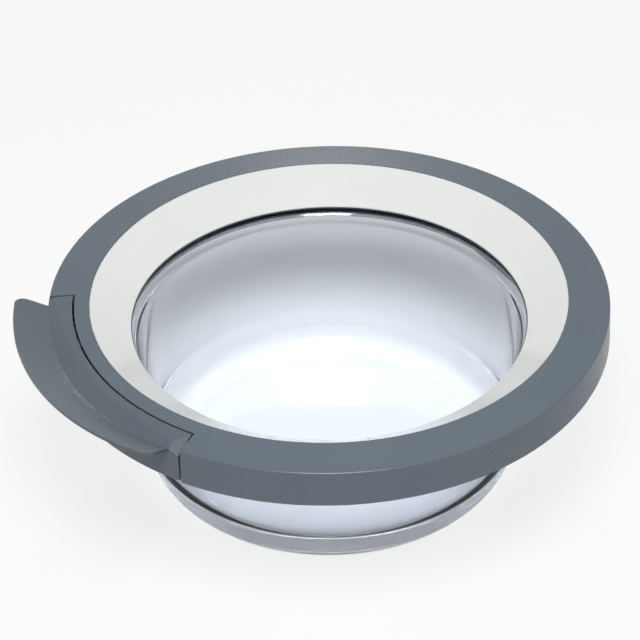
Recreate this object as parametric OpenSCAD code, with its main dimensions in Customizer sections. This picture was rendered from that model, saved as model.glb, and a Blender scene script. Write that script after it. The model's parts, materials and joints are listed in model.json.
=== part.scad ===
// Door of a front-loading washing machine, lying on its glass bowl with its front up.
// The origin is the centre of the bowl's flat bottom and +Z leaves the front of the door.
// The pull handle and the latch are at -X, the hinge is at +X, and +Y is up on the machine.

/* [Glass bowl] */
// Height of the glass from its flat bottom to the top of its flange
bowl_h = 141; // [125:1:160]
// Thickness of the glass
glass_t = 5; // [4:0.25:6]
// Width of the flange that is clamped, outside the bowl wall
flange_w = 21; // [19:0.5:21.5]
// Inset of the bowl wall near its bottom against its top
bowl_taper = 6.5; // [3:0.5:9]
// Radius of the outer bottom corner of the bowl
bowl_corner_r = 32; // [26:1:38]
// Radius of the bend from wall to flange, on the outside of the glass
bowl_neck_r = 8; // [6:0.5:9]
// Distance from the inside of the bowl wall to the edge of the flat floor
floor_inset = 30; // [26:1:34]
// Radius of the inner bottom corner, which meets the floor in a crease
inner_corner_r = 45; // [38:1:52]

/* [Front frame] */
// Diameter of the door across the front frame
door_d = 470; // [466:1:480]
// Width of the flat grey face
face_w = 34.5; // [34:0.5:36]
// Rise of the face from its outer edge to its inner edge
face_rise = 2.5; // [1:0.5:4]
// Height of the frame's outer wall
skirt_h = 31; // [30:0.5:33]
// Wall thickness of the frame moulding
frame_wall = 2.8; // [2.4:0.1:3]
// Draft that opens the outer wall towards its lower edge
skirt_draft = 1; // [0.5:0.25:1.5]
// Radius of the rounded front edge
edge_r = 1.6; // [0.8:0.2:2]

/* [Trim ring] */
// Radial width of the white cone
cone_w = 33.2; // [32:0.2:34]
// Height of the white cone
cone_rise = 23.7; // [23:0.1:26]
// Wall thickness of the trim ring, square to the cone
trim_wall = 2.5; // [2:0.1:2.8]
// Joint line between the frame and the cone
trim_gap = 0.3; // [0.2:0.05:0.5]

/* [Seal] */
// Thickness of the seal's two lips
seal_lip = 2.3; // [2:0.1:2.8]
// Thickness of the seal's outer web
seal_web = 2.8; // [2.2:0.1:3]
// Stretch of the upper lip that shows inside the cone
seal_peek = 0.7; // [0.4:0.1:1]

/* [Rear frame] */
// Thickness of the rear frame moulding
rear_t = 2.5; // [2.2:0.1:3]
// Distance of the frame screws from the door's edge
screw_inset = 14; // [13:0.5:16]
// Diameter of the frame screws
screw_d = 4; // [3.5:0.5:4.5]

/* [Handle] */
// Half of the angle that the handle's notch takes out of the frame
notch_half = 30.75; // [29.5:0.25:32]
// Width of the face that stays beside the notch
notch_band = 12.5; // [12.5:0.1:13]
// Gap round the handle
handle_gap = 1.8; // [1.7:0.1:2.2]
// Wall thickness of the handle moulding
handle_wall = 2.5; // [2.2:0.1:2.8]
// Reach of the lip past the frame, at the handle's middle
lip_reach = 31.5; // [26:0.5:34]
// Depth of the dish below the face, at the handle's middle
dish_depth = 6.5; // [4:0.5:7]
// Slope of the blade, as rise over run
blade_slope = 0.46; // [0.4:0.01:0.52]
// Thickness of the blade
blade_t = 2.8; // [2.4:0.1:3.2]
// Half of the angle that the blade takes
blade_half = 28; // [25:0.5:28.5]
// Radius of the blade's corners seen from the front
blade_corner_r = 11; // [6:1:14]
// Depth of the dish's level strip at the handle's middle, measured from the gap
strip_w = 5; // [4:0.5:7]
// Depth of that strip at the handle's ends
strip_end_w = 13; // [10:0.5:14]
// Distance of each handle pin from the handle's middle
pivot_y = 51; // [48:1:52]
// Diameter of the handle pins
pivot_d = 4; // [3:0.5:4]

/* [Latch] */
// Reach of the hook behind the door
hook_reach = 21; // [18:1:22]
// Thickness of the hook
hook_t = 8; // [6:0.5:8]
// Diameter of the hook's pin
hook_pin_d = 5; // [4:0.5:5]
// Thickness of the latch bracket's sheet
bracket_t = 2; // [1.5:0.25:2.5]
// Diameter of the wire of the springs
wire_d = 1; // [0.8:0.1:1.1]

/* [Hinge] */
// Diameter of the hinge pin
hinge_pin_d = 8; // [7:0.5:8]
// Thickness of the hinge's plates
hinge_t = 3; // [2.5:0.25:3.25]
// Half of the width of the hinge plates
hinge_half = 44; // [42:1:48]
// Distance between the cabinet screws along the door's height
cabinet_pitch_y = 68; // [60:1:70]
// Distance between the cabinet screws across the arm
cabinet_pitch_x = 16; // [14:0.5:18]
// Diameter of the cabinet screw holes
cabinet_hole_d = 6.5; // [5:0.5:7]

/* [Hidden] */

// Clearance of a pin that turns in its hole
running = 0.05;
// Overlap that makes one solid of two shapes
sink = 0.4;
// Overshoot of a cut past the surface that it opens
over = 1;
// Steps of a rounded corner in a profile
steps = 8;

// Radii of the front, from the outer edge inwards
door_r = door_d / 2;
face_in_r = door_r - face_w;
cone_out_r = face_in_r - trim_gap;
rim_r = cone_out_r - cone_w;

// Radii of the glass and its seal
rim_step = 0.5;
seal_slack = 0.15;
wall_top_r = rim_r - rim_step;
wall_low_r = wall_top_r - bowl_taper;
flange_r = wall_top_r + flange_w;
seal_r = flange_r + seal_slack + seal_web;
neck_x = wall_top_r + bowl_neck_r;

// Heights from the glass flange upwards, each piece seated on the one before
foot_t = 1.2;
foot_w = 9;
trim_lip_h = 5.2;
trim_flange_t = 1.8;
trim_flange_w = 4;
flange_low_z = bowl_h - glass_t;
seal_top_z = bowl_h + seal_lip;
seal_low_z = flange_low_z - seal_lip;
cone_low_z = seal_top_z + foot_t;
cone_top_z = cone_low_z + cone_rise;
seat_z = cone_top_z - trim_lip_h;
face_in_z = cone_top_z + trim_gap;
edge_z = face_in_z - face_rise;
skirt_low_z = edge_z - skirt_h;

// Inner rim of the frame, which presses on the trim ring
rim_rib_t = 2.5;

// Rear frame and the screws in it
rear_gap = 0.4;
ledge_overlap = 3.5;
boss_wall = 2.5;
screw_bite = 14;
rear_r = door_r - frame_wall - rear_gap;
rear_top_z = skirt_low_z + rear_t;
ledge_low_z = seal_low_z - rear_t;
step_in_r = seal_r + rear_gap;
ledge_in_r = neck_x - ledge_overlap;
screw_ring_r = door_r - screw_inset;
screw_angles = [28, 68, 108, 142, 218, 252, 292, 332];
screw_head_r = screw_d;
screw_head_t = screw_d * 2 / 3;
boss_r = screw_d / 2 + boss_wall;

// Notch and handle
lining_t = 2.2;
lining_h = 16;
end_clear = 3.5;
notch_r = face_in_r + notch_band;
handle_in_r = notch_r + handle_gap;
end_gap = handle_gap / (notch_r + face_w / 3) * 180 / PI;
handle_half = notch_half - end_gap;
end_wall_a = handle_wall / door_r * 180 / PI;
lining_low_z = edge_z - lining_h;
end_low_z = rear_top_z + end_clear;

// Crease where the level strip of the handle ends: a circle that leans on three points
crease_mid_r = handle_in_r + strip_w;
crease_end_r = handle_in_r + strip_end_w;
crease_c = circle_offset(crease_mid_r, crease_end_r, blade_half);
crease_r = crease_mid_r - crease_c;
// Valley of the dish and lip of the blade
valley_inset = 0.5;
blade_c = 60;
lip_end_drop = 5.5;
valley_mid_r = door_r - valley_inset;
valley_z = face_z(valley_mid_r) - dish_depth;
fall_slope = (face_z(crease_mid_r) - valley_z) / (valley_mid_r - crease_mid_r);
valley_r = valley_mid_r - blade_c;
lip_mid_r = door_r + lip_reach;
lip_c = circle_offset(lip_mid_r, lip_mid_r - lip_end_drop, blade_half);
lip_r = lip_mid_r - lip_c;
// Bevel at each end of the handle: it falls outwards and towards the end
bevel_fall = 21;
bevel_rise = 24.5;

// Pivot of the handle, its arms and its lugs
pivot_out = 0.5;
pivot_depth = 7;
eye_wall = 2.5;
arm_w = 8.5;
arm_below = 3.5;
arm_above = 2.5;
lug_t = 3.5;
lug_gap = 0.5;
coil_room = 5;
lever_x = face_in_r + pivot_out;
lever_z = edge_z - pivot_depth;
eye_r = pivot_d / 2 + eye_wall;
// Claw of the handle, and its distance from the hook's tail
claw_t = 4;
claw_inset = 6.5;
claw_drop = 9;
tail_gap = 0.8;
claw_x = lever_x - claw_inset;
claw_low_z = lever_z - claw_drop;
// Springs of the handle: one leg reaches up to the face, the other out to the handle's wall
contact = 0.1;
handle_turns = 2.75;
handle_spring_r = pivot_d / 2 + wire_d;
handle_spring_y = lug_in_y() + lug_t + wire_d;
face_leg = face_z(norm([lever_x + handle_spring_r, handle_spring_y])) - frame_wall - lever_z
    - contact;
arm_leg = sqrt(handle_in_r * handle_in_r - pivot_y * pivot_y) - lever_x - contact;

// Hook: its pivot, its tail above and its shank and barb below
hook_out = 5;
hook_rise = 6.5;
hook_eye_wall = 3.3;
tail_drop = 6.5;
tail_w = 3.5;
tail_root_w = 5;
tail_low = 3;
shank_w = 5.5;
barb_w = 9;
barb_h = 5;
barb_edge = 1.5;
hook_x = lever_x + hook_out;
hook_z = rear_top_z + hook_rise;
hook_eye_r = hook_pin_d / 2 + hook_eye_wall;
tail_x = claw_x + claw_t + tail_gap;
tail_top_z = lever_z - tail_drop;
hook_low_z = skirt_low_z - hook_reach;
// Bracket of the hook: two ears on a base with a slot
side_gap = 0.6;
ear_wall = 2.8;
base_in = 3.5;
base_out = 21;
base_half = 18;
latch_screw_out = 16;
latch_screw_y = 12.5;
slot_in = 6;
slot_out = 7.5;
slot_side = 1;
thread_out = 2;
ear_low_y = -hook_t / 2 - side_gap - bracket_t;
ear_high_y = hook_t / 2 + side_gap + coil_room;
ear_r = hook_pin_d / 2 + ear_wall;
base_in_x = lever_x - base_in;
base_out_x = lever_x + base_out;
latch_screw_x = lever_x + latch_screw_out;
slot_in_x = hook_x - slot_in;
slot_out_x = hook_x + slot_out;
slot_half = hook_t / 2 + slot_side;
// Spring of the hook: one leg pushes the hook's peg, the other stands on the bracket
peg_r = 1;
peg_leg_a = 135;
peg_leg = 9;
peg_run = 7.8;
hook_turns = 2.125;
hook_spring_r = hook_pin_d / 2 + wire_d;
peg_off = hook_spring_r - wire_d / 2 - peg_r - contact;
peg_x = hook_x - peg_off * cos(peg_leg_a) - peg_run * sin(peg_leg_a);
peg_z = hook_z + peg_off * sin(peg_leg_a) - peg_run * cos(peg_leg_a);
base_leg = hook_z - rear_top_z - bracket_t - contact;

// Hinge: its axis, the knuckle of the arm and the eyes of the bracket
hinge_inset = 13;
hinge_drop = 8;
knuckle_wall = 2.5;
knuckle_half = 26;
bush_t = 1.5;
bush_flange = 1.5;
bush_rim = 1;
eye_ring = 1.5;
eye_len = 12;
end_float = 0.3;
hinge_x = door_r - hinge_inset;
hinge_z = skirt_low_z - hinge_drop;
knuckle_r = hinge_pin_d / 2 + knuckle_wall;
ear_eye_r = hinge_pin_d / 2 + bush_t + eye_ring;
ear_in_y = knuckle_half + end_float + bush_flange;
ear_out_y = ear_in_y + eye_len;
// Plate of the bracket and its screws
hinge_screw_in = 12.5;
hinge_screw_pitch = 24;
plate_in = 11.5;
plate_out = 5.5;
ear_root = 1.5;
hinge_screw_x = hinge_x - hinge_screw_in;
hinge_screw_ys = [for (i = [-3, -1, 1, 3]) i * hinge_screw_pitch / 2];
plate_in_x = hinge_screw_x - plate_in;
plate_out_x = hinge_screw_x + plate_out;
ear_root_x = hinge_screw_x - ear_root;
// Pad of the arm, which the cabinet screws hold
pad_gap = 2;
pad_edge = 7;
arm_pad_out_x = ear_root_x - pad_gap;
arm_pad_in_x = arm_pad_out_x - cabinet_pitch_x - 2 * pad_edge;
arm_low_face_z = hinge_z - knuckle_r;
cabinet_x = (arm_pad_out_x + arm_pad_in_x) / 2;
// Clips of the hinge pin
clip_t = 1;
clip_w = 1.8;
clip_groove = 0.7;
clip_gap = 0.8;
pin_end = 1.4;
clip_y = ear_out_y + clip_gap;
pin_half = clip_y + clip_t + pin_end;

// Height of the grey face at a radius
function face_z(r) = edge_z + (door_r - r) / face_w * face_rise;
// Radius of the white cone at a height
function cone_r(z) = rim_r + (z - cone_low_z) / cone_rise * cone_w;
// Drop from the top of the cone's wall to its underside
trim_drop = trim_wall * norm([cone_w, cone_rise]) / cone_w;
// Points of an arc
function arc(c, r, from, to) =
    [for (i = [0:steps]) c + r * [cos(from + (to - from) * i / steps),
                                  sin(from + (to - from) * i / steps)]];
// Where the centre of a circle lies that passes mid at 0 degrees and end at plus and minus half
function circle_offset(mid, end, half) =
    (mid * mid - end * end) / (2 * (mid - end * cos(half)));

// Ring of rectangular section, round the door's axis
module ring(r0, r1, z0, z1) {
    rotate_extrude($fn = 180)
        translate([r0, z0])
            square([r1 - r0, z1 - z0]);
}

// Part of such a ring, half to each side of the handle's middle
module sector(r0, r1, z0, z1, half) {
    rotate([0, 0, 180 - half])
        rotate_extrude(angle = 2 * half, $fn = 180)
            translate([r0, z0])
                square([r1 - r0, z1 - z0]);
}

// Rod along Y
module rod_y(x, z, r, y0, y1) {
    translate([x, y0, z])
        rotate([-90, 0, 0])
            cylinder(r = r, h = y1 - y0, $fn = 48);
}

// Block between two corners
module block(low, high) {
    translate(low)
        cube(high - low);
}

// Upright rod
module rod_z(x, y, r, z0, z1) {
    translate([x, y, z0])
        cylinder(r = r, h = z1 - z0, $fn = 48);
}

// Round wire along a path that has no stretch parallel to Y
module wire(path, d) {
    sides = 8;
    last = len(path) - 1;
    function heading(i) = path[min(i + 1, last)] - path[max(i - 1, 0)];
    function across(i) = let (c = cross(heading(i), [0, 1, 0])) c / norm(c);
    function upward(i) = let (c = cross(across(i), heading(i))) c / norm(c);
    rings = [for (i = [0:last]) for (k = [0:sides - 1])
        path[i] + d / 2 * (cos(360 * k / sides) * across(i) + sin(360 * k / sides) * upward(i))];
    skin = [for (i = [0:last - 1]) for (k = [0:sides - 1])
        [i * sides + k, i * sides + (k + 1) % sides,
         (i + 1) * sides + (k + 1) % sides, (i + 1) * sides + k]];
    polyhedron(points = rings,
        faces = concat(skin, [[for (k = [0:sides - 1]) sides - 1 - k]],
                       [[for (k = [0:sides - 1]) last * sides + k]]));
}

// Path of a torsion spring on an axis along Y: its two legs and its turns
function torsion_path(x, z, r, y0, y1, from, turns, leg_a, leg_b) =
    let (end = from + 360 * turns, count = ceil(turns * 16))
    concat([[x, y0, z] + r * [cos(from), 0, sin(from)] + leg_a * [sin(from), 0, -cos(from)]],
        [for (i = [0:count]) let (a = from + (end - from) * i / count)
            [x + r * cos(a), y0 + (y1 - y0) * i / count, z + r * sin(a)]],
        [[x, y1, z] + r * [cos(end), 0, sin(end)] + leg_b * [-sin(end), 0, cos(end)]]);

// Self-tapping screw with a flat round head below z0
module pan_screw(x, y, z0, bite) {
    rod_z(x, y, screw_d / 2, z0 - sink, z0 + bite);
    difference() {
        rod_z(x, y, screw_head_r, z0 - screw_head_t, z0);
        cross_recess(x, y, z0 - screw_head_t);
    }
}

// Cross recess that a screwdriver turns, cut up into a head from z0
module cross_recess(x, y, z0) {
    for (turn = [0, 90])
        translate([x, y, z0])
            rotate([0, 0, turn])
                cube([screw_d, screw_d / 5, screw_d / 2], center = true);
}

// Outer frame: face, outer wall, inner rim and, inside, what the other pieces are fixed to
module outer_frame() {
    color([0.40, 0.45, 0.49])
    difference() {
        union() {
            frame_shell();
            notch_lining();
            pivot_lugs();
            for (a = screw_angles)
                rotate([0, 0, a])
                    rod_z(screw_ring_r, 0, boss_r, rear_top_z, edge_z);
            for (y = hinge_screw_ys)
                rod_z(hinge_screw_x, y, boss_r, rear_top_z, edge_z);
        }
        sector(notch_r, door_r + skirt_draft + over, skirt_low_z - over, face_in_z + over,
            notch_half);
        for (a = screw_angles)
            rotate([0, 0, a])
                rod_z(screw_ring_r, 0, screw_d / 2, rear_top_z - over, rear_top_z + screw_bite);
        for (y = hinge_screw_ys)
            rod_z(hinge_screw_x, y, screw_d / 2, rear_top_z - over, rear_top_z + screw_bite);
        for (side = [-1, 1])
            rod_y(-lever_x, lever_z, pivot_d / 2, side * pivot_y - 2 * arm_w,
                side * pivot_y + 2 * arm_w);
    }
}

// Revolved section of the outer frame
module frame_shell() {
    rotate_extrude($fn = 180)
        polygon(concat(
            [[door_r + skirt_draft, skirt_low_z]],
            arc([door_r - edge_r, edge_z - edge_r], edge_r, 0, 90),
            [[face_in_r, face_in_z],
             [face_in_r, seat_z],
             [face_in_r + rim_rib_t, seat_z],
             [face_in_r + rim_rib_t, face_z(face_in_r + rim_rib_t) - frame_wall],
             [door_r - frame_wall, edge_z - frame_wall],
             [door_r + skirt_draft - frame_wall, skirt_low_z]]));
}

// Walls round the notch, with windows for the three arms of the handle.
// They reach a little into the notch, which is cut afterwards.
module notch_lining() {
    past_end = sink / notch_r * 180 / PI;
    difference() {
        sector(notch_r - lining_t, notch_r + sink, lining_low_z, edge_z, notch_half + past_end);
        for (side = [-1, 1])
            block([-door_r, side * pivot_y - arm_w, lining_low_z - over],
                [-lever_x, side * pivot_y + arm_w, edge_z - frame_wall]);
        block([-door_r, -arm_w, lining_low_z - over], [-lever_x, arm_w, edge_z - frame_wall]);
    }
    for (side = [-1, 1])
        rotate([0, 0, 180 + side * notch_half])
            translate([notch_r - lining_t, side > 0 ? -sink : -lining_t, rear_top_z])
                cube([face_w - notch_band + lining_t - frame_wall / 2, lining_t + sink,
                    edge_z - frame_wall / 2 - rear_top_z]);
}

// Two pairs of lugs that hold the handle pins
module pivot_lugs() {
    intersection() {
        ring(face_in_r + trim_gap, notch_r - lining_t / 2, lever_z - eye_r, edge_z);
        for (side = [-1, 1])
            for (y = [lug_in_y(), lug_out_y()])
                block([-lever_x - eye_r, side * y + min(0, side * lug_t), lever_z - eye_r - over],
                    [-lever_x + eye_r, side * y + max(0, side * lug_t), edge_z]);
    }
}

// Near face of the inner lug and of the outer lug, seen from the handle's middle
function lug_in_y() = pivot_y - arm_w / 2 - coil_room - lug_t;
function lug_out_y() = pivot_y + arm_w / 2 + lug_gap;

// White ring: a cone with a foot on the seal and a flange under the frame's inner rim.
// The flange stops short of the lugs of the handle pins.
module trim_ring() {
    flange_low_z = seat_z - trim_flange_t;
    flange_in_r = cone_r(flange_low_z + trim_drop) - sink;
    top_low_z = seat_z - sink;
    lug_half = asin((lug_out_y() + lug_t + over) / lever_x);
    color([0.90, 0.90, 0.89]) {
        rotate_extrude($fn = 180)
            polygon([
                [rim_r, seal_top_z],
                [rim_r + foot_w, seal_top_z],
                [rim_r + foot_w, cone_low_z],
                [cone_r(cone_low_z + trim_drop), cone_low_z],
                [cone_r(top_low_z + trim_drop), top_low_z],
                [cone_out_r, top_low_z],
                [cone_out_r, cone_top_z],
                [rim_r, cone_low_z]]);
        rotate([0, 0, lug_half - 180])
            rotate_extrude(angle = 360 - 2 * lug_half, $fn = 180)
                translate([flange_in_r, flange_low_z])
                    square([cone_out_r + trim_flange_w - flange_in_r, trim_flange_t]);
    }
}

// Pressed glass: flat bottom, rounded corner, tapering wall and clamped flange
module glass_bowl() {
    inner_wall_r = wall_low_r - glass_t;
    crease_dx = inner_corner_r - floor_inset;
    crease_dz = sqrt(inner_corner_r * inner_corner_r - crease_dx * crease_dx);
    color([0.75, 0.80, 0.84, 0.5])
    rotate_extrude($fn = 180)
        polygon(concat(
            [[0, 0]],
            arc([wall_low_r - bowl_corner_r, bowl_corner_r], bowl_corner_r, -90, 0),
            arc([neck_x, flange_low_z - bowl_neck_r], bowl_neck_r, 180, 90),
            [[flange_r, flange_low_z], [flange_r, bowl_h]],
            arc([neck_x, flange_low_z - bowl_neck_r], bowl_neck_r + glass_t, 90, 180),
            arc([inner_wall_r - inner_corner_r, glass_t + crease_dz], inner_corner_r, 0,
                -atan2(crease_dz, crease_dx)),
            [[0, glass_t]]));
}

// U-shaped rubber ring on the edge of the glass flange
module glass_seal() {
    color([0.10, 0.12, 0.14])
    rotate_extrude($fn = 180)
        polygon([
            [neck_x + over, seal_low_z],
            [seal_r, seal_low_z],
            [seal_r, seal_top_z],
            [rim_r - seal_peek, seal_top_z],
            [rim_r - seal_peek, bowl_h + seal_lip / 2],
            [neck_x, bowl_h],
            [flange_r + seal_slack, bowl_h],
            [flange_r + seal_slack, flange_low_z],
            [neck_x + over, flange_low_z]]);
}

// Rear frame: plate behind the hollow of the front frame, stepped back under the glass
module rear_frame() {
    color([0.55, 0.57, 0.58])
    difference() {
        rotate_extrude($fn = 180)
            polygon([
                [ledge_in_r, ledge_low_z],
                [step_in_r + rear_t, ledge_low_z],
                [step_in_r + rear_t, skirt_low_z],
                [rear_r, skirt_low_z],
                [rear_r, rear_top_z],
                [step_in_r, rear_top_z],
                [step_in_r, seal_low_z],
                [ledge_in_r, seal_low_z]]);
        sector(rear_r - frame_wall, rear_r + over, skirt_low_z - over, rear_top_z + over,
            notch_half);
        block([-slot_out_x, -slot_half, skirt_low_z - over], [-slot_in_x, slot_half, rear_top_z + over]);
        for (a = screw_angles)
            rotate([0, 0, a])
                rod_z(screw_ring_r, 0, screw_d / 2, skirt_low_z - over, rear_top_z + over);
        for (y = hinge_screw_ys)
            rod_z(hinge_screw_x, y, screw_d / 2, skirt_low_z - over, rear_top_z + over);
        for (side = [-1, 1])
            rod_z(-latch_screw_x, side * latch_screw_y, screw_d / 2, skirt_low_z - over,
                rear_top_z + over);
    }
}

// Screws that pull the two frames together
module frame_screws() {
    color([0.75, 0.76, 0.78])
    for (a = screw_angles)
        rotate([0, 0, a])
            pan_screw(screw_ring_r, 0, skirt_low_z, rear_t + screw_bite - over);
}

// Everything below the level strip, lowered by drop
module below_strip(drop) {
    rotate_extrude($fn = 180)
        polygon([
            [handle_in_r, skirt_low_z],
            [door_r, skirt_low_z],
            [door_r, face_z(door_r) - drop],
            [handle_in_r, face_z(handle_in_r) - drop]]);
}

// Everything below the falling side of the dish, lowered by drop
module below_fall(drop) {
    reach = lip_mid_r - crease_mid_r;
    translate([-crease_c, 0, 0])
        rotate_extrude($fn = 240)
            polygon([
                [0, skirt_low_z],
                [crease_r + reach, skirt_low_z],
                [crease_r + reach, face_z(crease_mid_r) - drop - reach * fall_slope],
                [crease_r - reach, face_z(crease_mid_r) - drop + reach * fall_slope],
                [0, face_z(crease_mid_r) - drop + reach * fall_slope]]);
}

// Everything below the blade's upper side, lowered by drop, out to a distance past the lip
module below_blade(drop) {
    reach = 2 * (lip_mid_r - valley_mid_r);
    translate([-blade_c, 0, 0])
        rotate_extrude($fn = 240)
            polygon([
                [0, skirt_low_z - reach],
                [valley_r + reach, skirt_low_z - reach],
                [valley_r + reach, valley_z - drop + reach * blade_slope],
                [valley_r - reach, valley_z - drop - reach * blade_slope],
                [0, valley_z - drop - reach * blade_slope]]);
}

// Half space above the bevel at one end, lowered by drop
module above_bevel(side, drop) {
    size = 2 * lip_reach;
    rotate([0, 0, 180 + side * handle_half])
        translate([handle_in_r, 0, face_z(handle_in_r) - drop])
            rotate([0, bevel_fall, 0])
                rotate([-side * bevel_rise, 0, 0])
                    translate([-size / 2, -size / 2, 0])
                        cube([size, size, size]);
}

// Solid body of the handle under its top, lowered by drop and held in from the ends
module handle_body(drop, inset) {
    difference() {
        intersection() {
            sector(handle_in_r + inset, door_r - inset, skirt_low_z - drop, face_in_z,
                handle_half - inset / handle_wall * end_wall_a);
            below_strip(drop);
            union() {
                below_fall(drop);
                below_blade(drop);
            }
        }
        for (side = [-1, 1])
            above_bevel(side, drop);
    }
}

// Blade seen from the front: a sector with an off-centre outer edge and round corners
module blade_plan() {
    corner_reach = lip_r - blade_corner_r;
    corner_a = corner_angle(corner_reach);
    intersection() {
        translate([-lip_c, 0, 0])
            cylinder(r = lip_r, h = 2 * face_in_z, $fn = 240);
        union() {
            for (side = [-1, 1])
                translate([-lip_c, 0, 0])
                    rotate([0, 0, 180 + side * corner_a])
                        translate([corner_reach, 0, 0])
                            cylinder(r = blade_corner_r, h = 2 * face_in_z, $fn = 64);
            intersection() {
                translate([-lip_c, 0, 0])
                    cylinder(r = corner_reach, h = 2 * face_in_z, $fn = 240);
                sector(0, 2 * door_r, 0, 2 * face_in_z, blade_half);
            }
            translate([-lip_c, 0, 0])
                sector(0, lip_r + over, 0, 2 * face_in_z, corner_a);
        }
    }
}

// Angle at the lip's centre of the corner circle that touches the blade's straight end
function corner_angle(reach) =
    blade_half - asin((blade_corner_r - lip_c * sin(blade_half)) / reach);

// Pull handle: hollow body with a dish, an outward blade, two eyes and a claw for the hook
module handle() {
    color([0.36, 0.40, 0.43])
    difference() {
        union() {
            difference() {
                handle_body(0, 0);
                handle_body(handle_wall, handle_wall);
                sector(handle_in_r - over, handle_in_r + handle_wall + sink, skirt_low_z - over,
                    lining_low_z, handle_half - 2 * end_wall_a);
                sector(handle_in_r - over, door_r - handle_wall - sink, skirt_low_z - over,
                    end_low_z, handle_half + over);
            }
            intersection() {
                blade_plan();
                difference() {
                    below_blade(0);
                    below_blade(blade_t);
                }
                ring(door_r - handle_wall, 2 * door_r, 0, 2 * face_in_z);
            }
            handle_arms();
        }
        for (side = [-1, 1])
            rod_y(-lever_x, lever_z, pivot_d / 2 + running, side * pivot_y - arm_w,
                side * pivot_y + arm_w);
    }
}

// The handle's two eyes and its claw, on arms that pass under the face
module handle_arms() {
    arm_root_x = handle_in_r + handle_wall / 2;
    for (side = [-1, 1]) {
        rod_y(-lever_x, lever_z, eye_r, side * pivot_y - arm_w / 2, side * pivot_y + arm_w / 2);
        intersection() {
            block([-arm_root_x, side * pivot_y - arm_w / 2, lever_z - arm_below],
                [-lever_x, side * pivot_y + arm_w / 2, lever_z + arm_above]);
            ring(0, arm_root_x, 0, edge_z);
        }
    }
    block([-arm_root_x, -hook_t / 2, lever_z - arm_below],
        [-claw_x - claw_t / 2, hook_t / 2, lever_z + arm_above / 2]);
    block([-claw_x - claw_t, -hook_t / 2, claw_low_z],
        [-claw_x, hook_t / 2, lever_z - arm_above / 2]);
}

// Steel pins of the handle, each in its pair of lugs
module handle_pins() {
    color([0.78, 0.79, 0.80])
    for (side = [-1, 1])
        rod_y(-lever_x, lever_z, pivot_d / 2, side * pivot_y
            - (side > 0 ? pivot_y - lug_in_y() : lug_out_y() + lug_t - pivot_y),
            side * pivot_y + (side > 0 ? lug_out_y() + lug_t - pivot_y : pivot_y - lug_in_y()));
}

// Torsion springs beside the handle's eyes
module handle_springs() {
    color([0.70, 0.71, 0.72])
    for (side = [-1, 1])
        wire(torsion_path(-lever_x, lever_z, handle_spring_r, side * handle_spring_y,
            side * (pivot_y - arm_w / 2 - wire_d), 180, handle_turns, face_leg, arm_leg), wire_d);
}

// Sheet steel carrier of the hook: a base on the rear frame and two ears
module latch_bracket() {
    color([0.74, 0.75, 0.76])
    difference() {
        union() {
            block([-base_out_x, -base_half, rear_top_z], [-base_in_x, base_half, rear_top_z + bracket_t]);
            for (y = [ear_low_y, ear_high_y]) {
                rod_y(-hook_x, hook_z, ear_r, y, y + bracket_t);
                block([-hook_x - ear_r, y, rear_top_z], [-hook_x + ear_r, y + bracket_t, hook_z]);
            }
        }
        block([-slot_out_x, -slot_half, rear_top_z - over],
            [-slot_in_x, slot_half, rear_top_z + bracket_t + over]);
        rod_y(-hook_x, hook_z, hook_pin_d / 2, ear_low_y - over, ear_high_y + bracket_t + over);
        for (side = [-1, 1])
            rod_z(-latch_screw_x, side * latch_screw_y, screw_d / 2, rear_top_z - over,
                rear_top_z + bracket_t + over);
    }
}

// Hook: tail that the claw pulls, peg for the spring, eye on the pin, shank and barb
module latch_hook() {
    color([0.62, 0.63, 0.65])
    difference() {
        union() {
            rod_y(-hook_x, hook_z, hook_eye_r, -hook_t / 2, hook_t / 2);
            rod_y(-peg_x, peg_z, peg_r, 0, hook_t / 2 + 2 * wire_d);
            translate([0, hook_t / 2, 0])
                rotate([90, 0, 0])
                    linear_extrude(hook_t)
                        polygon([
                            [-hook_x - shank_w / 2, hook_z],
                            [-hook_x - shank_w / 2, hook_low_z + barb_h + barb_edge],
                            [-hook_x - shank_w / 2 - barb_w, hook_low_z + barb_h],
                            [-hook_x - shank_w / 2 - barb_w, hook_low_z + barb_h - barb_edge],
                            [-hook_x - shank_w / 2, hook_low_z],
                            [-hook_x + shank_w / 2, hook_low_z],
                            [-hook_x + shank_w / 2, hook_z],
                            [-tail_x, hook_z + tail_low],
                            [-tail_x, tail_top_z],
                            [-tail_x - tail_w, tail_top_z],
                            [-tail_x - tail_root_w, hook_z + tail_low]]);
        }
        rod_y(-hook_x, hook_z, hook_pin_d / 2 + running, -hook_t, hook_t);
    }
}

// Pin of the hook, in the bracket's ears
module hook_pin() {
    color([0.78, 0.79, 0.80])
    rod_y(-hook_x, hook_z, hook_pin_d / 2, ear_low_y - over, ear_high_y + bracket_t + over);
}

// Torsion spring beside the hook
module hook_spring() {
    color([0.70, 0.71, 0.72])
    wire(torsion_path(-hook_x, hook_z, hook_spring_r, hook_t / 2 + wire_d,
        ear_high_y - wire_d, peg_leg_a, hook_turns, peg_leg, base_leg), wire_d);
}

// Screws of the latch bracket, from behind the door
module latch_screws() {
    color([0.75, 0.76, 0.78])
    for (side = [-1, 1])
        pan_screw(-latch_screw_x, side * latch_screw_y, skirt_low_z, rear_t + bracket_t + thread_out);
}

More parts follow.
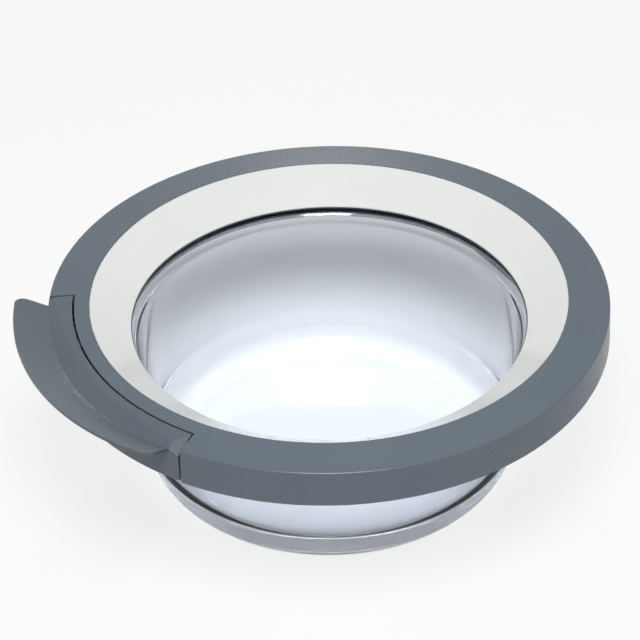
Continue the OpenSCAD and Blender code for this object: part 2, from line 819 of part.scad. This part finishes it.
// Door side of the hinge: a plate with two eyes
module hinge_bracket() {
    color([0.66, 0.67, 0.69])
    difference() {
        union() {
            block([plate_in_x, -hinge_half, skirt_low_z - hinge_t],
                [plate_out_x, hinge_half, skirt_low_z]);
            for (y = [-ear_out_y, ear_in_y]) {
                rod_y(hinge_x, hinge_z, ear_eye_r, y, y + ear_out_y - ear_in_y);
                block([ear_root_x, y, hinge_z],
                    [hinge_x + ear_eye_r, y + ear_out_y - ear_in_y, skirt_low_z]);
            }
        }
        rod_y(hinge_x, hinge_z, hinge_pin_d / 2 + bush_t, -ear_out_y - over, ear_out_y + over);
        for (y = hinge_screw_ys) {
            rod_z(hinge_screw_x, y, screw_d / 2, skirt_low_z - hinge_t - over, skirt_low_z + over);
            translate([hinge_screw_x, y, skirt_low_z - hinge_t])
                cylinder(r1 = screw_d, r2 = screw_d / 2, h = screw_d / 2, $fn = 48);
        }
    }
}

// Cabinet side of the hinge: a knuckle between the eyes and a plate with four screw holes
module hinge_arm() {
    color([0.66, 0.67, 0.69])
    difference() {
        union() {
            rod_y(hinge_x, hinge_z, knuckle_r, -knuckle_half, knuckle_half);
            block([arm_pad_out_x - over, -knuckle_half, arm_low_face_z],
                [hinge_x, knuckle_half, arm_low_face_z + hinge_t]);
            block([arm_pad_in_x, -hinge_half, arm_low_face_z],
                [arm_pad_out_x, hinge_half, arm_low_face_z + hinge_t]);
        }
        rod_y(hinge_x, hinge_z, hinge_pin_d / 2, -knuckle_half - over, knuckle_half + over);
        for (dx = [-1, 1])
            for (dy = [-1, 1])
                rod_z(cabinet_x + dx * cabinet_pitch_x / 2, dy * cabinet_pitch_y / 2,
                    cabinet_hole_d / 2, arm_low_face_z - over, arm_low_face_z + hinge_t + over);
    }
}

// Hinge pin, pressed into the knuckle, with a groove for a clip near each end
module hinge_pin() {
    color([0.80, 0.81, 0.82])
    difference() {
        rod_y(hinge_x, hinge_z, hinge_pin_d / 2, -pin_half, pin_half);
        for (y = [-clip_y - clip_t, clip_y])
            difference() {
                rod_y(hinge_x, hinge_z, hinge_pin_d, y, y + clip_t);
                rod_y(hinge_x, hinge_z, hinge_pin_d / 2 - clip_groove, y - over, y + clip_t + over);
            }
    }
}

// Flanged bush in one eye of the hinge bracket
module bush(side) {
    color([0.88, 0.88, 0.84])
    mirror([0, side > 0 ? 0 : 1, 0])
        difference() {
            union() {
                rod_y(hinge_x, hinge_z, hinge_pin_d / 2 + bush_t, ear_in_y - bush_flange, ear_out_y);
                rod_y(hinge_x, hinge_z, hinge_pin_d / 2 + bush_t + bush_rim, ear_in_y - bush_flange,
                    ear_in_y);
            }
            rod_y(hinge_x, hinge_z, hinge_pin_d / 2 + running, 0, ear_out_y + over);
        }
}

module hinge_bush_upper() {
    bush(1);
}

module hinge_bush_lower() {
    bush(-1);
}

// Open retaining rings in the grooves of the hinge pin
module pin_clips() {
    color([0.35, 0.36, 0.37])
    for (y = [-clip_y - clip_t, clip_y])
        difference() {
            rod_y(hinge_x, hinge_z, hinge_pin_d / 2 + clip_w, y, y + clip_t);
            rod_y(hinge_x, hinge_z, hinge_pin_d / 2 - clip_groove, y - over, y + clip_t + over);
            block([hinge_x - hinge_pin_d / 4, y - over, hinge_z - hinge_pin_d],
                [hinge_x + hinge_pin_d / 4, y + clip_t + over, hinge_z]);
        }
}

// Countersunk screws of the hinge bracket
module hinge_screws() {
    low = skirt_low_z - hinge_t;
    color([0.75, 0.76, 0.78])
    for (y = hinge_screw_ys)
        difference() {
            union() {
                translate([hinge_screw_x, y, low])
                    cylinder(r1 = screw_d, r2 = screw_d / 2, h = screw_d / 2, $fn = 48);
                rod_z(hinge_screw_x, y, screw_d / 2, low + sink, rear_top_z + screw_bite - over);
            }
            cross_recess(hinge_screw_x, y, low);
        }
}

outer_frame();
trim_ring();
glass_bowl();
glass_seal();
rear_frame();
frame_screws();
handle();
handle_pins();
handle_springs();
latch_bracket();
latch_hook();
hook_pin();
hook_spring();
latch_screws();
hinge_bracket();
hinge_arm();
hinge_pin();
hinge_bush_upper();
hinge_bush_lower();
pin_clips();
hinge_screws();
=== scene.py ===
"""Looks of the washing machine door: camera, light, floor and the materials of every piece."""
import json
import math

import bpy
from mathutils import Matrix, Vector


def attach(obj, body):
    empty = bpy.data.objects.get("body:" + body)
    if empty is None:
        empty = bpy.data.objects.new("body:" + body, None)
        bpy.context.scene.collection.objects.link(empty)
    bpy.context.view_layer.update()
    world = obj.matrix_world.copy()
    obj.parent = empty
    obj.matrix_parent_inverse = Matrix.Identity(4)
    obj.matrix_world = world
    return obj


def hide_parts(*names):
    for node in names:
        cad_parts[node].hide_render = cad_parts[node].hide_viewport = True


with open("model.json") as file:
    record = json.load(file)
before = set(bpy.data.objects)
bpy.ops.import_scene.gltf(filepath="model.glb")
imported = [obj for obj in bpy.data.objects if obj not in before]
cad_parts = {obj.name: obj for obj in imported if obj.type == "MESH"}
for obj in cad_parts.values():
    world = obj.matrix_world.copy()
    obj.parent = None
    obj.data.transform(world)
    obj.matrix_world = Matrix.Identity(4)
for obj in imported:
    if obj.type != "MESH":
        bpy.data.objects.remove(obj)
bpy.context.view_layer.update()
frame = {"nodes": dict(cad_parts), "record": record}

FLOOR_SEEN, FLOOR_MIRRORED = 0.8, 0.1
WORLD, WORLD_MIRRORED = 0.4, 0.6

# ---------------------------------------------------------------- materials


def new_material(name):
    mat = bpy.data.materials.new(name)
    mat.use_nodes = True
    tree = mat.node_tree
    shader = tree.nodes["Principled BSDF"]
    return mat, tree, shader


def object_noise(tree, scale, detail=2.0, stretch=(1, 1, 1)):
    coord = tree.nodes.new("ShaderNodeTexCoord")
    mapping = tree.nodes.new("ShaderNodeMapping")
    mapping.inputs["Scale"].default_value = stretch
    noise = tree.nodes.new("ShaderNodeTexNoise")
    noise.inputs["Scale"].default_value = scale
    noise.inputs["Detail"].default_value = detail
    tree.links.new(coord.outputs["Object"], mapping.inputs["Vector"])
    tree.links.new(mapping.outputs["Vector"], noise.inputs["Vector"])
    return noise


def ranged(tree, source, lo, hi):
    node = tree.nodes.new("ShaderNodeMapRange")
    node.inputs["From Min"].default_value = 0.3
    node.inputs["From Max"].default_value = 0.7
    node.inputs["To Min"].default_value = lo
    node.inputs["To Max"].default_value = hi
    tree.links.new(source, node.inputs["Value"])
    return node.outputs["Result"]


def two_tone(tree, source, dark, light):
    ramp = tree.nodes.new("ShaderNodeValToRGB")
    ramp.color_ramp.elements[0].position = 0.3
    ramp.color_ramp.elements[0].color = (*dark, 1)
    ramp.color_ramp.elements[1].position = 0.7
    ramp.color_ramp.elements[1].color = (*light, 1)
    tree.links.new(source, ramp.inputs["Fac"])
    return ramp.outputs["Color"]


def bump(tree, source, strength, distance, radius=0.0):
    node = tree.nodes.new("ShaderNodeBump")
    node.inputs["Strength"].default_value = strength
    node.inputs["Distance"].default_value = distance
    tree.links.new(source, node.inputs["Height"])
    if radius:
        round_edge = tree.nodes.new("ShaderNodeBevel")
        round_edge.samples = 6
        round_edge.inputs["Radius"].default_value = radius
        tree.links.new(round_edge.outputs["Normal"], node.inputs["Normal"])
    return node.outputs["Normal"]


def moulded(name, dark, light, rough, grain, depth, edge=0.0004, coat=0.0, ior=1.5):
    """Moulded plastic: faint flow marks in colour and gloss, and a fine surface grain."""
    mat, tree, shader = new_material(name)
    flow = object_noise(tree, 14, 3)
    tree.links.new(two_tone(tree, flow.outputs["Fac"], dark, light), shader.inputs["Base Color"])
    fine = object_noise(tree, grain, 2)
    tree.links.new(ranged(tree, fine.outputs["Fac"], rough * 0.9, rough * 1.1), shader.inputs["Roughness"])
    tree.links.new(bump(tree, fine.outputs["Fac"], 0.03, depth, edge), shader.inputs["Normal"])
    shader.inputs["IOR"].default_value = ior
    shader.inputs["Coat Weight"].default_value = coat
    shader.inputs["Coat Roughness"].default_value = 0.05
    return mat


def metal(name, dark, light, rough, stretch=(1, 1, 1), grain=900):
    mat, tree, shader = new_material(name)
    fine = object_noise(tree, grain, 3, stretch)
    tree.links.new(two_tone(tree, fine.outputs["Fac"], dark, light), shader.inputs["Base Color"])
    tree.links.new(ranged(tree, fine.outputs["Fac"], rough * 0.8, rough * 1.25), shader.inputs["Roughness"])
    tree.links.new(bump(tree, fine.outputs["Fac"], 0.2, 0.00003, 0.0002), shader.inputs["Normal"])
    shader.inputs["Metallic"].default_value = 1.0
    return mat


def glass_material():
    mat, tree, shader = new_material("clear_glass")
    shader.inputs["Base Color"].default_value = (0.80, 0.83, 0.87, 1)
    shader.inputs["Transmission Weight"].default_value = 1.0
    shader.inputs["IOR"].default_value = 1.47
    wave = object_noise(tree, 9, 1)
    tree.links.new(ranged(tree, wave.outputs["Fac"], 0.02, 0.05), shader.inputs["Roughness"])
    tree.links.new(bump(tree, wave.outputs["Fac"], 0.3, 0.0004), shader.inputs["Normal"])
    clear = tree.nodes.new("ShaderNodeBsdfTransparent")
    clear.inputs["Color"].default_value = (0.86, 0.88, 0.91, 1)
    path = tree.nodes.new("ShaderNodeLightPath")
    mix = tree.nodes.new("ShaderNodeMixShader")
    tree.links.new(path.outputs["Is Shadow Ray"], mix.inputs["Fac"])
    tree.links.new(shader.outputs["BSDF"], mix.inputs[1])
    tree.links.new(clear.outputs["BSDF"], mix.inputs[2])
    tree.links.new(mix.outputs["Shader"], tree.nodes["Material Output"].inputs["Surface"])
    return mat


def srgb(r, g, b):
    """Linear colour of a display colour."""
    return tuple((c / 255 / 12.92) if c <= 10 else ((c / 255 + 0.055) / 1.055) ** 2.4 for c in (r, g, b))


MATERIALS = {
    "frame_grey": moulded("frame_grey", srgb(84, 95, 105), srgb(88, 99, 108), 0.28, 700, 0.000008, 0.0005),
    "handle_grey": moulded("handle_grey", srgb(80, 90, 98), srgb(84, 94, 102), 0.26, 700, 0.000008, 0.0005),
    "trim_white": moulded("trim_white", srgb(222, 223, 220), srgb(226, 226, 223), 0.16, 500, 0.000005, 0.0003),
    "clear_glass": glass_material(),
    # seal_rubber: a thin rubber seal between the glass flange and the trim, whose dark blue-grey tone is partly
    # painted shade. It stands in for the shadow gap and the dark refracted through the glass shoulder at the
    # trim's inner edge.
    "seal_rubber": moulded("seal_rubber", srgb(30, 40, 52), srgb(36, 46, 58), 0.5, 900, 0.00008),
    "rear_grey": moulded("rear_grey", srgb(140, 144, 146), srgb(148, 151, 153), 0.5, 800, 0.0001, 0.0004),
    "zinc_steel": metal("zinc_steel", srgb(176, 180, 186), srgb(202, 205, 208), 0.34),
    "pin_steel": metal("pin_steel", srgb(186, 188, 190), srgb(208, 209, 210), 0.2, (1, 0.1, 1)),
    "cast_zinc": metal("cast_zinc", srgb(150, 152, 156), srgb(172, 174, 176), 0.46, (1, 1, 1), 1400),
    "spring_steel": metal("spring_steel", srgb(120, 122, 126), srgb(150, 152, 154), 0.3),
    "bush_plastic": moulded("bush_plastic", srgb(222, 218, 204), srgb(228, 225, 212), 0.4, 800, 0.00005, 0.0002),
}
for part in frame["record"]["subparts"]:
    node = frame["nodes"][part["node"]]
    node.data.materials.clear()
    node.data.materials.append(MATERIALS[part["material_slot"]])
    for face in node.data.polygons:
        face.material_index = 0

# ---------------------------------------------------------------- glass bowl


def arc(cx, cz, r, start, end, steps):
    return [(cx + r * math.cos(math.radians(start + (end - start) * i / steps)),
             cz + r * math.sin(math.radians(start + (end - start) * i / steps))) for i in range(steps + 1)]


def revolve(name, profile, segments, material, close=True):
    """Mesh of revolution about Z. The profile is in mm; a point at radius 0 becomes one vertex."""
    verts, rows = [], []
    for r, z in profile:
        if r < 1e-6:
            verts.append((0, 0, z / 1000))
            rows.append([len(verts) - 1] * segments)
        else:
            first = len(verts)
            for k in range(segments):
                a = 2 * math.pi * k / segments
                verts.append((r * math.cos(a) / 1000, r * math.sin(a) / 1000, z / 1000))
            rows.append(list(range(first, first + segments)))
    faces = []
    pairs = list(zip(rows, rows[1:])) + ([(rows[-1], rows[0])] if close else [])
    for a, b in pairs:
        for k in range(segments):
            n = (k + 1) % segments
            ids = [a[k], a[n], b[n], b[k]]
            clean = [v for i, v in enumerate(ids) if v != ids[i - 1]]
            if len(clean) > 2:
                faces.append(clean)
    mesh = bpy.data.meshes.new(name)
    mesh.from_pydata(verts, [], faces)
    mesh.validate()
    obj = bpy.data.objects.new(name, mesh)
    bpy.context.scene.collection.objects.link(obj)
    mesh.materials.append(material)
    mesh.shade_smooth()
    return obj


GLASS_T = 5
crease_dz = math.sqrt(45 ** 2 - 15 ** 2)
glass_profile = (
    [(0, 0), (60, 0), (110, 0)]
    + arc(128, 32, 32, -90, 0, 24)
    + [(162, 61.5), (164, 91), (165.5, 113)]
    + arc(174.5, 128, 8, 180, 90, 14)
    + [(186.9, 136), (187.5, 136.6), (187.5, 140.4), (186.9, 141)]
    + arc(174.5, 128, 13, 90, 180, 18)
    + [(160, 106), (158.5, 84), (156.5, 64)]
    + arc(110, 5 + crease_dz, 45, 0, -math.degrees(math.atan2(crease_dz, 15)) + 1.2, 30)
    + [(123.6, 5), (110, 5), (60, 5), (0, 5)])
bowl = revolve("bowl_glass", glass_profile, 256, MATERIALS["clear_glass"])
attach(bowl, "door")
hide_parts("glass_bowl")

# ---------------------------------------------------------------- stage


def pale_for(tree, seen, mirrored):
    """Share of the plain white that a camera ray sees, and that a glossy or transmitted ray sees."""
    path = tree.nodes.new("ShaderNodeLightPath")
    either = tree.nodes.new("ShaderNodeMath")
    either.operation = "MAXIMUM"
    tree.links.new(path.outputs["Is Glossy Ray"], either.inputs[0])
    tree.links.new(path.outputs["Is Transmission Ray"], either.inputs[1])
    part = tree.nodes.new("ShaderNodeMath")
    part.operation = "MULTIPLY"
    part.inputs[1].default_value = mirrored
    tree.links.new(either.outputs[0], part.inputs[0])
    camera = tree.nodes.new("ShaderNodeMath")
    camera.operation = "MULTIPLY_ADD"
    camera.inputs[1].default_value = seen
    tree.links.new(path.outputs["Is Camera Ray"], camera.inputs[0])
    tree.links.new(part.outputs[0], camera.inputs[2])
    return camera.outputs[0]


floor_mat, floor_tree, floor_shader = new_material("floor_white")
floor_shader.inputs["Base Color"].default_value = (0.80, 0.80, 0.80, 1)
floor_shader.inputs["Roughness"].default_value = 0.7
floor_shader.inputs["Specular IOR Level"].default_value = 0.2
glow = floor_tree.nodes.new("ShaderNodeEmission")
glow.inputs["Color"].default_value = (1, 1, 1, 1)
mix = floor_tree.nodes.new("ShaderNodeMixShader")
floor_tree.links.new(pale_for(floor_tree, FLOOR_SEEN, FLOOR_MIRRORED), mix.inputs["Fac"])
floor_tree.links.new(floor_shader.outputs["BSDF"], mix.inputs[1])
floor_tree.links.new(glow.outputs["Emission"], mix.inputs[2])
floor_tree.links.new(mix.outputs["Shader"], floor_tree.nodes["Material Output"].inputs["Surface"])
floor_mesh = bpy.data.meshes.new("floor")
floor_mesh.from_pydata([(-6, -6, 0), (6, -6, 0), (6, 6, 0), (-6, 6, 0)], [], [(0, 1, 2, 3)])
floor_mesh.materials.append(floor_mat)
floor = bpy.data.objects.new("floor", floor_mesh)
floor.location = (0, 0, -0.0002)
bpy.context.scene.collection.objects.link(floor)

world = bpy.data.worlds.new("studio")
bpy.context.scene.world = world
world.use_nodes = True
wt = world.node_tree
ambient = wt.nodes["Background"]
ambient.inputs["Color"].default_value = (0.94, 0.97, 1.0, 1)
ambient.inputs["Strength"].default_value = WORLD
white = wt.nodes.new("ShaderNodeBackground")
white.inputs["Color"].default_value = (1, 1, 1, 1)
mix = wt.nodes.new("ShaderNodeMixShader")
wt.links.new(pale_for(wt, 1.0, WORLD_MIRRORED), mix.inputs["Fac"])
wt.links.new(ambient.outputs["Background"], mix.inputs[1])
wt.links.new(white.outputs["Background"], mix.inputs[2])
wt.links.new(mix.outputs["Shader"], wt.nodes["World Output"].inputs["Surface"])


def area_light(name, place, aim, size, power, colour=(1, 1, 1)):
    data = bpy.data.lights.new(name, "AREA")
    data.shape = "RECTANGLE"
    data.size, data.size_y = size
    data.energy = power
    data.color = colour
    obj = bpy.data.objects.new(name, data)
    obj.location = place
    obj.rotation_mode = "QUATERNION"
    obj.rotation_quaternion = (Vector(aim) - Vector(place)).to_track_quat("-Z", "Y")
    bpy.context.scene.collection.objects.link(obj)
    return obj


area_light("key_softbox", (-0.487, -0.872, 1.96), (0, 0, 0.05), (0.7, 0.7), 34)
area_light("back_softbox", (0.79, 1.42, 1.17), (0, 0, 0), (0.14, 0.12), 3)

# ---------------------------------------------------------------- camera

AZIMUTH, ELEVATION, ROLL = math.radians(-29.2), math.radians(35.51), 0.02067
TARGET, DISTANCE = Vector((0, 0, 0.166)), 2.115
backward = Vector((math.sin(AZIMUTH) * math.cos(ELEVATION), -math.cos(AZIMUTH) * math.cos(ELEVATION),
                   math.sin(ELEVATION)))
right = (-backward).cross(Vector((0, 0, 1))).normalized()
up = backward.cross(right)
x_axis = math.cos(ROLL) * right - math.sin(ROLL) * up
y_axis = math.sin(ROLL) * right + math.cos(ROLL) * up
camera_data = bpy.data.cameras.new("camera")
camera_data.sensor_width = 36
camera_data.lens = 141.9
camera_data.shift_x = -0.01375
camera_data.shift_y = -0.0395
camera_data.clip_start = 0.05
camera_data.clip_end = 50
camera = bpy.data.objects.new("camera", camera_data)
camera.matrix_world = Matrix.Translation(TARGET + backward * DISTANCE) @ Matrix(
    (x_axis, y_axis, backward)).transposed().to_4x4()
bpy.context.scene.collection.objects.link(camera)
bpy.context.scene.camera = camera
bpy.context.scene.view_settings.view_transform = "Standard"
